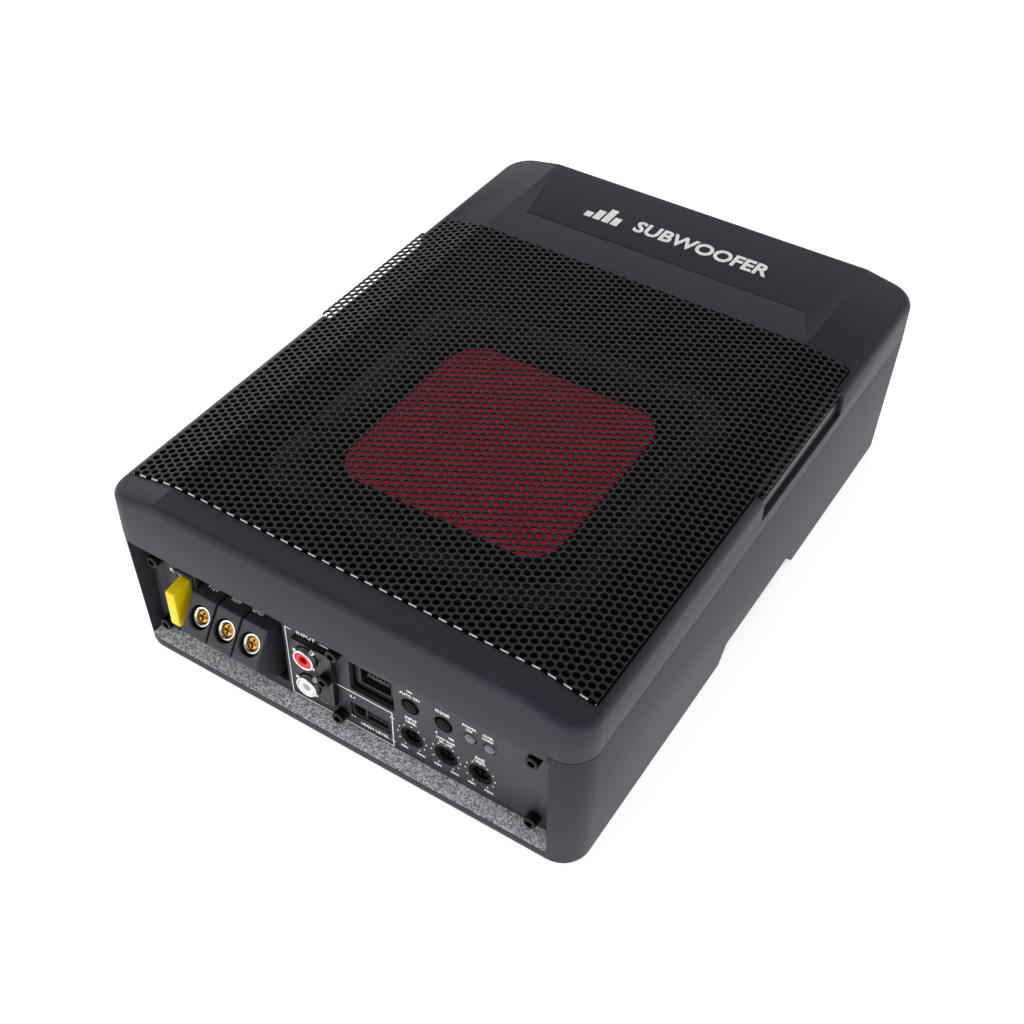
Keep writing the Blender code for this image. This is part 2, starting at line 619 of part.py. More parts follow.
def make_moving_cone():
    """Everything that moves together: diaphragm plate, cone and voice coil."""
    half, radius = DIAPHRAGM_HALF, DIAPHRAGM_R
    plate = [(half, radius, 60.5), (half, radius, 62.4), (half - 0.7, radius - 0.7, 63.0)]
    red = material("diaphragm_red", (0.24, 0.010, 0.022), 0.45)
    add_object("diaphragm", square_ring(plate, ring=False), red)
    cone = [(39.2, 10.0, 60.2), (39.2, 10.0, 59.3), (20.8, 20.8, 50.6)]
    cone += [(19.3, 19.3, 50.6), (19.3, 19.3, 51.8)]
    add_object("cone", square_ring(cone), material("cone_paper", (0.03, 0.03, 0.03), 0.85))
    coil = [(COIL_R, 54.0), (COIL_R - 1.0, 54.0), (COIL_R - 1.0, 24.0), (COIL_R + 0.4, 24.0)]
    coil += [(COIL_R + 0.4, 39.0), (COIL_R, 39.0)]
    copper = material("voice_coil_copper", (0.72, 0.33, 0.16), 0.35, 1.0)
    add_object("voice_coil", turned(coil, 32, True), copper, (0.0, WOOFER_Y, 0.0), 0.0, True, True)


def make_suspension():
    """Half-roll surround and corrugated spider, which flex between the frame and the cone."""
    middle, roll, centre_r = 47.5, 4.8, 15.5
    outer = arc(middle, 62.6, roll, 180, 0, 6)
    inner = arc(middle, 62.4, roll - 0.6, 0, 180, 6)
    section = [(39.5, 60.2), (42.7, 60.2)] + outer + [(60.0, 62.65), (60.0, 62.4)] + inner
    section += [(43.3, 59.7), (39.5, 59.7)]
    loops = [(half, max(6.0, centre_r + half - middle), z) for half, z in section]
    add_object("surround", square_ring(loops), black_rubber())

    points, inner_r, outer_r, waves = 12, COIL_R + 0.4, 44.8, 3
    top = []
    for i in range(points + 1):
        share = i / points
        top.append((inner_r + (outer_r - inner_r) * share, SPIDER_Z + 0.8 * sin(2 * pi * waves * share)))
    under = [(r, z - 0.4) for r, z in reversed(top)]
    cloth = material("spider_cloth", (0.32, 0.20, 0.06), 0.9)
    add_object("spider", turned(top + under, 28, True), cloth, (0.0, WOOFER_Y, 0.0), 0.0, True, True)


def main():
    for obj in list(bpy.data.objects):
        bpy.data.objects.remove(obj, do_unlink=True)
    make_lower_case()
    make_top_cover()
    make_grille()
    make_side_trims()
    make_baffle()
    make_case_gasket()
    make_control_panel()
    make_panel_screws()
    make_control_board()
    make_amplifier_board()
    make_speaker_lead()
    make_terminals()
    make_fuse()
    make_rca_sockets()
    make_data_sockets()
    make_pots()
    make_switches()
    make_leds()
    make_woofer_frame()
    make_moving_cone()
    make_suspension()


main()
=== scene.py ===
import math

import bmesh
import bpy
from mathutils import Matrix, Vector


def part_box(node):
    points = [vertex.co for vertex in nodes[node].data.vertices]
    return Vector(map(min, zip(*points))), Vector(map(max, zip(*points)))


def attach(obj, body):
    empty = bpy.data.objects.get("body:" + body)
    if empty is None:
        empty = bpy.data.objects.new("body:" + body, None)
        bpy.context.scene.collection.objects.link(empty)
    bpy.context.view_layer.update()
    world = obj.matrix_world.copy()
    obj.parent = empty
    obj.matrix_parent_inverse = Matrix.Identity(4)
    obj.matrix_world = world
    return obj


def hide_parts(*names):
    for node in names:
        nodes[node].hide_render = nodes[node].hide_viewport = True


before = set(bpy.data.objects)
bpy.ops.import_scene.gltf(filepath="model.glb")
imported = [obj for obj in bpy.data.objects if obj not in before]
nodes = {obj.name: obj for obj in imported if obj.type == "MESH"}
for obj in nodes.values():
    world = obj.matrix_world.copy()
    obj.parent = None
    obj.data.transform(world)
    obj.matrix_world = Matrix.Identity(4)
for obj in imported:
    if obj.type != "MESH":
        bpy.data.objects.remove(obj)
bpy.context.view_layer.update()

mm = 0.001
facingOut = (math.radians(90), 0, 0)   # turns a part's top towards -Y, out of the panel


def cad(name):
    low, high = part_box(name)
    return low / mm, high / mm


def middle(name):
    low, high = cad(name)
    return (low + high) / 2


# ---- working with one object

def onlyThis(obj):
    if bpy.context.object and bpy.context.object.mode != "OBJECT":
        bpy.ops.object.mode_set(mode="OBJECT")
    bpy.ops.object.select_all(action="DESELECT")
    bpy.context.view_layer.objects.active = obj
    obj.select_set(True)


def startEdit(obj, selected="DESELECT"):
    onlyThis(obj)
    bpy.ops.object.mode_set(mode="EDIT")
    bpy.ops.mesh.select_mode(type="VERT")
    bpy.ops.mesh.select_all(action=selected)


def endEdit():
    bpy.ops.object.mode_set(mode="OBJECT")


def pick(obj, kind, test):
    # kind is verts, edges or faces; the test sees one of them, with places in metres
    bpy.ops.mesh.select_mode(type={"verts": "VERT", "edges": "EDGE", "faces": "FACE"}[kind])
    bpy.ops.mesh.select_all(action="DESELECT")
    mesh = bmesh.from_edit_mesh(obj.data)
    mesh.normal_update()
    for item in getattr(mesh, kind):
        if test(item):
            item.select_set(True)
    mesh.select_flush_mode()
    bmesh.update_edit_mesh(obj.data)


def settle(obj):
    onlyThis(obj)
    bpy.ops.object.transform_apply(location=True, rotation=True, scale=True)
    return obj


def applyModifiers(obj):
    onlyThis(obj)
    for modifier in list(obj.modifiers):
        bpy.ops.object.modifier_apply(modifier=modifier.name)


def named(obj, name):
    obj.name = name
    obj.data.name = name
    return obj


def block(name, low, high):
    # a cube at its size and place, from two corners in mm
    low, high = Vector(low) * mm, Vector(high) * mm
    bpy.ops.object.select_all(action="DESELECT")
    bpy.ops.mesh.primitive_cube_add(size=1, location=(low + high) / 2)
    obj = named(bpy.context.object, name)
    obj.scale = high - low
    return settle(obj)


def turned(name, rings, place, steps=32, tilt=(0, 0, 0)):
    # a circle extruded and scaled from ring to ring (radius, height), as on a lathe
    bpy.ops.object.select_all(action="DESELECT")
    bpy.ops.mesh.primitive_circle_add(vertices=steps, radius=rings[0][0] * mm, fill_type="NOTHING")
    obj = named(bpy.context.object, name)
    startEdit(obj, "SELECT")
    bpy.ops.transform.translate(value=(0, 0, rings[0][1] * mm))
    closed = rings[0] == rings[-1]
    if not closed:
        bpy.ops.mesh.edge_face_add()
        bpy.ops.mesh.select_all(action="SELECT")
    for (r0, h0), (r1, h1) in zip(rings, rings[1:]):
        bpy.ops.mesh.extrude_region_move(TRANSFORM_OT_translate={"value": (0, 0, (h1 - h0) * mm)})
        if abs(r1 - r0) > 1e-6:
            scale = r1 / r0
            bpy.ops.transform.resize(value=(scale, scale, 1), center_override=(0, 0, h1 * mm))
    if closed:
        bpy.ops.mesh.select_all(action="SELECT")
        bpy.ops.mesh.remove_doubles(threshold=0.000001)
    bpy.ops.mesh.select_all(action="SELECT")
    bpy.ops.mesh.normals_make_consistent(inside=False)
    endEdit()
    obj.rotation_euler = tilt
    obj.location = Vector(place) * mm
    return settle(obj)


def combine(obj, tool, how="DIFFERENCE"):
    modifier = obj.modifiers.new("tool", "BOOLEAN")
    modifier.operation = how
    modifier.solver = "EXACT"
    modifier.object = tool
    applyModifiers(obj)
    bpy.data.objects.remove(tool)


def soften(obj, width, steps=2, angle=40):
    modifier = obj.modifiers.new("edges", "BEVEL")
    modifier.width = width * mm
    modifier.segments = steps
    modifier.limit_method = "ANGLE"
    modifier.angle_limit = math.radians(angle)
    applyModifiers(obj)


def copied(master, name, shift):
    obj = master.copy()
    obj.data = master.data.copy()
    bpy.context.scene.collection.objects.link(obj)
    obj.data.transform(Matrix.Translation(Vector(shift) * mm))
    return named(obj, name)


def joined(name, pieces):
    onlyThis(pieces[0])
    for piece in pieces:
        piece.select_set(True)
    if len(pieces) > 1:
        bpy.ops.object.join()
    return named(bpy.context.object, name)


def done(obj, material, body="case", replaced=(), angle=30):
    onlyThis(obj)
    bpy.ops.object.shade_smooth_by_angle(angle=math.radians(angle))
    if not obj.data.materials:
        obj.data.materials.append(material)
    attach(obj, body)
    if replaced:
        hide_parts(*replaced)
    return obj


# ---- materials

def linear(hexColour):
    values = [int(hexColour[i:i + 2], 16) / 255 for i in (1, 3, 5)]
    values = [v / 12.92 if v <= 0.04045 else ((v + 0.055) / 1.055) ** 2.4 for v in values]
    return (*values, 1.0)


def addNode(tree, kind, settings=None, links=None):
    node = tree.nodes.new("ShaderNode" + kind)
    for key, value in (settings or {}).items():
        if isinstance(key, int) or key in node.inputs:
            node.inputs[key].default_value = value
        else:
            setattr(node, key, value)
    for key, source in (links or {}).items():
        tree.links.new(source, node.inputs[key])
    return node


def surface(name, colour, fleck, grain, rough, bump, metallic=0.0, cloud=0.0, **sockets):
    # two tones of one colour on a noise of the given grain in mm, which also lifts the surface and
    # varies its gloss; cloud adds slow unevenness about 35 mm across
    material = bpy.data.materials.new(name)
    material.use_nodes = True
    tree = material.node_tree
    shader = tree.nodes["Principled BSDF"]
    place = addNode(tree, "TexCoord").outputs["Object"]
    noise = addNode(tree, "TexNoise", {"Scale": 1000 / grain, "Detail": 3.0, "Roughness": 0.65},
                    {"Vector": place})
    ramp = addNode(tree, "ValToRGB", {}, {"Fac": noise.outputs["Fac"]})
    ramp.color_ramp.elements[0].position = 0.38
    ramp.color_ramp.elements[0].color = linear(colour)
    ramp.color_ramp.elements[1].position = 0.68
    ramp.color_ramp.elements[1].color = linear(fleck)
    tone = ramp.outputs["Color"]
    if cloud:
        slow = addNode(tree, "TexNoise", {"Scale": 1000 / 35, "Detail": 2.0}, {"Vector": place})
        level = addNode(tree, "MapRange", {"To Min": 1 - cloud, "To Max": 1 + cloud},
                        {"Value": slow.outputs["Fac"]})
        tone = addNode(tree, "VectorMath", {"operation": "SCALE"},
                       {0: tone, "Scale": level.outputs["Result"]}).outputs["Vector"]
    tree.links.new(tone, shader.inputs["Base Color"])
    gloss = addNode(tree, "MapRange", {"To Min": rough - 0.06, "To Max": rough + 0.06},
                    {"Value": noise.outputs["Fac"]})
    tree.links.new(gloss.outputs["Result"], shader.inputs["Roughness"])
    lift = addNode(tree, "Bump", {"Strength": bump, "Distance": grain * 0.25 * mm},
                   {"Height": noise.outputs["Fac"]})
    tree.links.new(lift.outputs["Normal"], shader.inputs["Normal"])
    shader.inputs["Metallic"].default_value = metallic
    for key, value in sockets.items():
        shader.inputs[key.replace("_", " ")].default_value = value
    return material


# ABS, moulded in a spark-eroded tool: a fine even grain that keeps it satin
caseAbs = surface("caseAbs", "#22232c", "#2a2b36", 0.45, 0.52, 0.35, cloud=0.10, Specular_IOR_Level=0.3)
# the same ABS where the tool was blasted coarse, on the floor of the bay: the coarse grain is real, while
# its pale grey and white flecks are painted light, standing in for the light the grain scatters and the
# sparkle of its glints
ledgePaintedSparkle = surface("ledgePaintedSparkle", "#6c6c75", "#ffffff", 0.7, 0.6, 1.0)
# sheet steel with polyester powder coat: near black, faint orange peel
powderCoat = surface("powderCoat", "#1c1d21", "#2a2b30", 0.6, 0.5, 0.3, Specular_IOR_Level=0.32)
# steel panel with a sprayed satin finish
panelPaint = surface("panelPaint", "#2a2b31", "#33343b", 0.35, 0.48, 0.25, cloud=0.08)
# glass-filled nylon of the sockets: black, a little streaky
blackNylon = surface("blackNylon", "#060607", "#0d0d0f", 0.8, 0.36, 0.2)
# phenolic terminal block: black lifted to a dark grey, painted light for what its slanted cell faces catch;
# the socket tongue and ribs use the same grey
litGreyNylon = surface("litGreyNylon", "#29292d", "#3b3b41", 0.5, 0.5, 0.35)
# near-black with little gloss, darker than the black plastics: painted shade for the deep pot recesses and
# for the grille's side flanges behind the case's side openings; the push buttons and switch bodies use it
# too
shadeBlack = surface("shadeBlack", "#030304", "#070708", 1.2, 0.6, 0.4, Specular_IOR_Level=0.15)
# zinc with bright nickel plate
nickelPlate = surface("nickelPlate", "#e4e2de", "#f6f4f0", 1.5, 0.24, 0.06, 1.0)
# the sheet's punched outer edge: near-white, a painted highlight standing in for the glints along the cut
# edge
edgeGlint = surface("edgeGlint", "#f0f1f2", "#ffffff", 1.2, 0.4, 0.1)
# turned brass, left bright
brassTurned = surface("brassTurned", "#b98a3c", "#e0b86a", 0.5, 0.26, 0.2, 1.0)
# steel screws with black oxide
blackOxide = surface("blackOxide", "#101012", "#1b1b1e", 0.5, 0.34, 0.15, 0.6)
# tinted clear polycarbonate of a blade fuse
fuseClear = surface("fuseClear", "#ffd200", "#ffe21c", 3.0, 0.3, 0.03, Subsurface_Weight=0.25)
fuseBlade = surface("fuseBlade", "#a8a8a6", "#c4c4c2", 0.6, 0.3, 0.1, 1.0)
# glossy polyamide jack inserts
jackRed = surface("jackRed", "#d40812", "#ea141c", 1.0, 0.35, 0.05)
jackWhite = surface("jackWhite", "#e9e9e4", "#f6f6f2", 1.0, 0.3, 0.05)
# clear epoxy lamp
ledEpoxy = surface("ledEpoxy", "#dfe8ee", "#eef4f7", 4.0, 0.08, 0.002, Transmission_Weight=0.85)
# screen-printed epoxy ink, slightly thin in places
whiteInk = surface("whiteInk", "#f2f2f0", "#ffffff", 0.3, 0.55, 0.1)
# polypropylene plate with a deep red lacquer
redPlate = surface("redPlate", "#ff1c3c", "#ff2444", 1.4, 0.5, 0.12, cloud=0.06)
rollRubber = surface("rollRubber", "#060607", "#0b0b0c", 0.6, 0.7, 0.2, Specular_IOR_Level=0.2)
blackSteel = surface("blackSteel", "#161617", "#202022", 0.5, 0.3, 0.12, 0.5)
fibreBoard = surface("fibreBoard", "#050506", "#0a0a0b", 1.0, 0.85, 0.3, Specular_IOR_Level=0.12)
ferrite = surface("ferrite", "#2c2c2f", "#3a3a3d", 0.7, 0.6, 0.3)
paperCone = surface("paperCone", "#151413", "#24211f", 0.9, 0.85, 0.5)
resinCloth = surface("resinCloth", "#6b4a1a", "#9a7434", 0.5, 0.8, 0.6)
coilWire = surface("coilWire", "#a8562c", "#d08048", 0.3, 0.3, 0.5, 1.0)
solderMask = surface("solderMask", "#0a120e", "#101c15", 1.2, 0.4, 0.15)
sleeveVinyl = surface("sleeveVinyl", "#14161c", "#1e212a", 1.2, 0.35, 0.1)
sinkAluminium = surface("sinkAluminium", "#a4a6a8", "#bcbec0", 0.5, 0.38, 0.2, 1.0)
leadVinyl = surface("leadVinyl", "#7a0f10", "#94181a", 0.8, 0.45, 0.1)
print("materials made")


# ---- camera, light and floor

def makeStage():
    camera = {"place": (0.1977, -0.3393, 0.3906), "turn": (45.765, -0.803, 32.521), "lens": 50.6}
    bpy.ops.object.camera_add(location=camera["place"], rotation=[math.radians(a) for a in camera["turn"]])
    view = bpy.context.object
    view.data.lens = camera["lens"]
    view.data.sensor_width = 36
    view.data.clip_start = 0.01
    bpy.context.scene.camera = view

    floor = block("floor", (-6000, -6000, -20.0), (6000, 6000, -0.02))
    paper = surface("floorPaper", "#fafafa", "#ffffff", 2.0, 0.7, 0.02)
    glow = paper.node_tree.nodes["Principled BSDF"]   # a back-lit table, so it stays white
    glow.inputs["Emission Color"].default_value = (1, 1, 1, 1)
    glow.inputs["Emission Strength"].default_value = 0.62
    floor.data.materials.append(paper)

    # softboxes: (place, size, watts)
    lights = {
        "backLeft": ((-1.4, 0.9, 0.45), 0.8, 2),
        "frontLeft": ((-0.9, -1.1, 0.9), 1.2, 4),
        "right": ((1.5, -0.3, 0.7), 1.0, 1.6),
        "overhead": ((0.1, -0.2, 1.9), 1.6, 5),
    }
    for name, (place, size, watts) in lights.items():
        bpy.ops.object.light_add(type="AREA", location=place)
        light = bpy.context.object
        light.name = name
        light.data.shape = "SQUARE"
        light.data.size = size
        light.data.energy = watts
        aim = Vector((0, 0, 0.03)) - Vector(place)
        light.rotation_euler = aim.to_track_quat("-Z", "Y").to_euler()

    world = bpy.data.worlds.new("studio")
    world.use_nodes = True
    # a pale surround up to a third of the way to the zenith, and a dim ceiling above it
    tree = world.node_tree
    direction = addNode(tree, "TexCoord").outputs["Generated"]
    height = addNode(tree, "SeparateXYZ", {}, {"Vector": direction}).outputs["Z"]
    sky = addNode(tree, "ValToRGB", {}, {"Fac": height})
    stops = ((0.0, 1.0), (0.32, 0.85), (0.52, 0.46), (0.64, 0.2), (1.0, 0.12))
    ramp = sky.color_ramp.elements
    for position, level in stops[1:-1]:
        ramp.new(position)
    for stop, (position, level) in zip(ramp, stops):
        stop.position = position
        stop.color = (level * 0.96, level * 0.98, level, 1)
    backdrop = tree.nodes["Background"]
    tree.links.new(sky.outputs["Color"], backdrop.inputs["Color"])
    backdrop.inputs["Strength"].default_value = 1.5
    bpy.context.scene.world = world
    bpy.context.scene.view_settings.view_transform = "Standard"


makeStage()
print("stage made")


# ---- case

shell = {"corner": 10, "flatHalf": 69, "slope": 0.19, "rim": 2.4, "wall": 2.5, "taper": 1.5,
         "caseWall": 4.5, "floor": 4.5, "split": 55.5, "bay": (-84, 79), "bayBack": -111,
         "fasciaBack": -121, "windowY": (-11, 53.5), "windowZ": 61.5, "windowIn": 84.5,
         "grooveY": 85.3, "groove": 60.5, "grooveRadius": 0.75, "openingHalf": 87.2, "clear": 0.3,
         "channelY": (-30, 43), "channelZ": 8.7, "channelIn": (10, 11)}
beyond = 140    # mm, past every side of the case: how far a cutting block reaches


def upright(edge):
    a, b = (v.co for v in edge.verts)
    return abs(a.x - b.x) < 1e-6 and abs(a.y - b.y) < 1e-6


def coverBlank(name, inset, bottom):
    low, high = cad("top_cover")
    wide = Vector((inset, inset, 0))
    obj = block(name, (*(low + wide)[:2], bottom), (*(high - wide)[:2], high.z - inset))
    startEdit(obj)
    pick(obj, "edges", upright)
    bpy.ops.mesh.bevel(offset=(shell["corner"] - inset) * mm, segments=12, affect="EDGES")
    for side in (-1, 1):    # the sloped strips beside the flat middle
        bpy.ops.mesh.select_all(action="SELECT")
        bpy.ops.mesh.bisect(plane_co=(side * shell["flatHalf"] * mm, 0, (high.z - inset) * mm),
                            plane_no=(side * shell["slope"], 0, 1), use_fill=True, clear_outer=True)
    endEdit()
    return obj


def makeTopCover():
    low, high = cad("top_cover")
    cover = coverBlank("topCover", 0, low.z)
    startEdit(cover)

    def topRim(edge):
        if len(edge.link_faces) != 2:
            return False
        a, b = sorted(f.normal.z for f in edge.link_faces)
        return b > 0.9 and abs(a) < 0.1

    pick(cover, "edges", topRim)
    bpy.ops.mesh.bevel(offset=shell["rim"] * mm, segments=5, affect="EDGES")
    endEdit()
    combine(cover, coverBlank("tool", shell["wall"], low.z - 5))
    split = shell["split"]
    under, clear = split - 15.5, shell["clear"]
    combine(cover, block("tool", (-100, shell["fasciaBack"], under), (100, beyond, split)))
    combine(cover, block("tool", (-100, -beyond, under), (shell["bay"][0] + clear, beyond, split)))
    combine(cover, block("tool", (shell["bay"][1] - clear, -beyond, under), (100, beyond, split)))

    sheetLow, sheetHigh = cad("grille")
    half = shell["openingHalf"]
    opening = block("tool", (-half, sheetLow.y - clear, 50), (half, sheetHigh.y + clear, 90))
    startEdit(opening)
    pick(opening, "edges", upright)
    bpy.ops.mesh.bevel(offset=1.5 * mm, segments=4, affect="EDGES")
    endEdit()
    combine(cover, opening)
    for side in (-1, 1):
        x = sorted((side * shell["windowIn"], side * 95))
        combine(cover, block("tool", (x[0], shell["windowY"][0], shell["windowZ"]),
                             (x[1], shell["windowY"][1], 90)))
    radius = shell["grooveRadius"]
    groove = turned("tool", [(radius, -shell["groove"]), (radius, shell["groove"])],
                    (0, shell["grooveY"], high.z + 0.2), 16, (0, math.radians(90), 0))
    combine(cover, groove)
    soften(cover, 0.35, 2, 50)
    done(cover, caseAbs, replaced=["top_cover"], angle=25)

    def fold(edge):
        return all(abs(abs(v.co.x) - shell["flatHalf"] * mm) < 1e-5 for v in edge.verts)

    startEdit(cover)
    pick(cover, "edges", fold)
    bpy.ops.mesh.mark_sharp()
    endEdit()


def makeLowerCase():
    low, high = cad("lower_case")
    case = block("lowerCase", (low.x, low.y, 0), high)
    startEdit(case)
    pick(case, "edges", upright)
    bpy.ops.mesh.bevel(offset=shell["corner"] * mm, segments=12, affect="EDGES")
    pick(case, "verts", lambda v: v.co.z < 1 * mm)
    drawIn = (1 - shell["taper"] / high.x, 1 - shell["taper"] / high.y, 1)
    bpy.ops.transform.resize(value=drawIn, center_override=(0, 0, 0))
    pick(case, "edges", lambda e: all(v.co.z < 1 * mm for v in e.verts))
    bpy.ops.mesh.bevel(offset=1.3 * mm, segments=3, affect="EDGES")
    endEdit()

    wall = shell["caseWall"]
    hollow = block("tool", (low.x + wall, shell["bayBack"] - 1, shell["floor"]),
                   (high.x - wall, high.y - wall, 80))
    startEdit(hollow)
    pick(hollow, "edges", upright)
    bpy.ops.mesh.bevel(offset=5 * mm, segments=4, affect="EDGES")
    endEdit()
    combine(hollow, block("tool2", (-120, -27, 0), (120, 40, 12)))
    combine(case, hollow)

    bay = block("tool", (shell["bay"][0], -beyond, shell["floor"]), (shell["bay"][1], shell["bayBack"], 80))
    startEdit(bay)
    pick(bay, "edges", lambda e: all(v.co.z < 5 * mm for v in e.verts)
         and abs(e.verts[0].co.y - e.verts[1].co.y) > 1 * mm)
    bpy.ops.mesh.bevel(offset=1.5 * mm, segments=4, affect="EDGES")
    endEdit()
    combine(case, bay)

    # clearance channel across the underside, with sloped ends
    front, rear = shell["channelY"]
    channel = block("tool", (-120, front, -8), (120, rear, shell["channelZ"]))
    startEdit(channel)
    pick(channel, "verts", lambda v: v.co.z > 5 * mm and v.co.y < 0)
    bpy.ops.transform.translate(value=(0, shell["channelIn"][0] * mm, 0))
    pick(channel, "verts", lambda v: v.co.z > 5 * mm and v.co.y > 0)
    bpy.ops.transform.translate(value=(0, -shell["channelIn"][1] * mm, 0))
    endEdit()
    combine(case, channel)
    soften(case, 0.5, 2, 50)

    # the bay's floor has the coarse finish, with its pale grey and white flecks of painted light and sparkle
    case.data.materials.append(caseAbs)
    case.data.materials.append(ledgePaintedSparkle)
    startEdit(case)
    pick(case, "faces", lambda f: f.normal.z > 0.6 and f.calc_center_median().y < -111.5 * mm
         and 3.5 * mm < f.calc_center_median().z < 7 * mm)
    case.active_material_index = 1
    bpy.ops.object.material_slot_assign()
    endEdit()
    done(case, caseAbs, replaced=["lower_case"], angle=25)


makeTopCover()
makeLowerCase()
print("case made")


# ---- perforated grille

sheet = {"pitch": 3.09, "hole": 2.56, "steel": 0.7, "edge": 87.05, "tab": 89.95, "tabY": (-10.7, 53.2),
         "proud": 0.8, "flangeIn": (1.2, 0.35), "flangeZ": (67.4, 70.4), "apronZ": (62.5, 69.0)}


def makeGrille():
    low, high = cad("grille")
    pitch, hole = sheet["pitch"], sheet["hole"]
    column = pitch * math.sqrt(3) / 2
    # one hole: a circle drawn out to a hexagon, and its neighbour in the next column
    bpy.ops.object.select_all(action="DESELECT")
    bpy.ops.mesh.primitive_circle_add(vertices=12, radius=hole / 2 * mm, fill_type="NOTHING")
    half = named(bpy.context.object, "grilleRight")
    startEdit(half, "SELECT")
    bpy.ops.mesh.extrude_region_move(TRANSFORM_OT_translate={"value": (0, 0, 0)})
    out = pitch / math.sqrt(3) / (hole / 2)
    bpy.ops.transform.resize(value=(out, out, 1), center_override=(0, 0, 0))

    def betweenCorners(v):
        if v.co.length < pitch * 0.5 * mm:
            return False
        return round(math.degrees(math.atan2(v.co.y, v.co.x)) / 30) % 2 == 1

    pick(half, "verts", betweenCorners)
    flat = math.cos(math.radians(30))
    bpy.ops.transform.resize(value=(flat, flat, 1), center_override=(0, 0, 0))
    bpy.ops.mesh.select_all(action="SELECT")
    bpy.ops.mesh.duplicate_move(TRANSFORM_OT_translate={"value": (column * mm, pitch / 2 * mm, 0)})
    endEdit()
    half.location = (0, (low.y - pitch) * mm, 0)
    settle(half)
    rows = math.ceil((high.y - low.y) / pitch) + 2
    columns = math.ceil(sheet["tab"] / column / 2) + 1
    for count, offset in ((rows, (0, pitch * mm, 0)), (columns, (2 * column * mm, 0, 0))):
        array = half.modifiers.new("rows", "ARRAY")
        array.count = count
        array.use_relative_offset = False
        array.use_constant_offset = True
        array.constant_offset_displace = offset
    applyModifiers(half)

    def trim(x, y, normal, **how):
        bpy.ops.mesh.bisect(plane_co=(x * mm, y * mm, 0), plane_no=normal, **how)

    startEdit(half, "SELECT")
    bpy.ops.mesh.remove_doubles(threshold=0.02 * mm)
    bpy.ops.mesh.normals_make_consistent(inside=False)
    for x, y, normal in ((0, 0, (-1, 0, 0)), (sheet["tab"], 0, (1, 0, 0)), (0, low.y, (0, -1, 0)),
                         (0, high.y, (0, 1, 0))):
        bpy.ops.mesh.select_all(action="SELECT")
        trim(x, y, normal, clear_outer=True)
    for x in (sheet["edge"], shell["flatHalf"]):
        bpy.ops.mesh.select_all(action="SELECT")
        trim(x, 0, (1, 0, 0))

    def pastEdge(f):
        return f.calc_center_median().x > sheet["edge"] * mm

    for y in sheet["tabY"]:
        pick(half, "faces", pastEdge)
        trim(0, y, (0, 1, 0))
    front, rear = sheet["tabY"]
    pick(half, "faces", lambda f: pastEdge(f) and not front * mm < f.calc_center_median().y < rear * mm)
    bpy.ops.mesh.delete(type="FACE")
    # fold the side strip down along the cover's slope
    pick(half, "verts", lambda v: v.co.x > (shell["flatHalf"] + 0.01) * mm)
    bpy.ops.transform.rotate(value=-math.atan(shell["slope"]), orient_axis="Y",
                             center_override=(shell["flatHalf"] * mm, 0, 0))
    bpy.ops.mesh.select_all(action="SELECT")
    bpy.ops.transform.translate(value=(0, 0, (high.z + sheet["proud"]) * mm))
    bpy.ops.mesh.select_all(action="SELECT")
    bpy.ops.mesh.normals_make_consistent(inside=False)
    endEdit()
    up = sum(p.normal.z * p.area for p in half.data.polygons)
    if up < 0:
        startEdit(half, "SELECT")
        bpy.ops.mesh.flip_normals()
        endEdit()
    thick = half.modifiers.new("steel", "SOLIDIFY")
    thick.thickness = sheet["steel"] * mm
    thick.offset = -1
    applyModifiers(half)

    half.data.materials.append(powderCoat)
    half.data.materials.append(edgeGlint)
    # the front and rear cut-edge faces get the near-white painted glint
    startEdit(half)
    pick(half, "faces", lambda f: abs(f.normal.y) > 0.9
         and not low.y + 0.05 < f.calc_center_median().y / mm < high.y - 0.05)
    half.active_material_index = 1
    bpy.ops.object.material_slot_assign()
    endEdit()
    left = copied(half, "grilleLeft", (0, 0, 0))
    left.scale = (-1, 1, 1)
    settle(left)
    startEdit(left, "SELECT")
    bpy.ops.mesh.normals_make_consistent(inside=False)
    endEdit()
    for obj in (half, left):
        done(obj, powderCoat, replaced=["grille"], angle=40)
    print("grille halves", len(half.data.polygons), "faces each")

    # turned-down flange along each side
    for side, name in ((-1, "flangeLeft"), (1, "flangeRight")):
        x = sorted(side * (sheet["edge"] - inward) for inward in sheet["flangeIn"])
        flange = block(name, (x[0], low.y, sheet["flangeZ"][0]), (x[1], high.y, sheet["flangeZ"][1]))
        # it hangs lower behind the opening in the case's side
        apron = block("apron", (x[0], sheet["tabY"][0], sheet["apronZ"][0]),
                      (x[1], sheet["tabY"][1], sheet["apronZ"][1]))
        combine(flange, apron, "UNION")
        soften(flange, 0.2)
        # the flange is near-black: painted shade behind the case's side opening
        done(flange, shadeBlack)


makeGrille()
print("grille made")


# ---- helpers for the pieces on the panel

panelY = cad("control_panel")[0].y


def tilted(angle):
    return (math.radians(angle), 0, 0)


def softCopy(node, name, width, steps=2):
    # a copy of a CAD solid with its flats joined up and its edges broken
    source = nodes[node]
    obj = source.copy()
    obj.data = source.data.copy()
    for key in list(obj.keys()):
        del obj[key]
    bpy.context.scene.collection.objects.link(obj)
    obj.parent = None
    obj.hide_render = obj.hide_viewport = False
    named(obj, name)
    obj.data.materials.clear()
    startEdit(obj, "SELECT")
    bpy.ops.mesh.remove_doubles(threshold=0.00001)
    bpy.ops.mesh.dissolve_limited(angle_limit=math.radians(1))
    endEdit()
    if width:
        soften(obj, width, steps)
    return obj


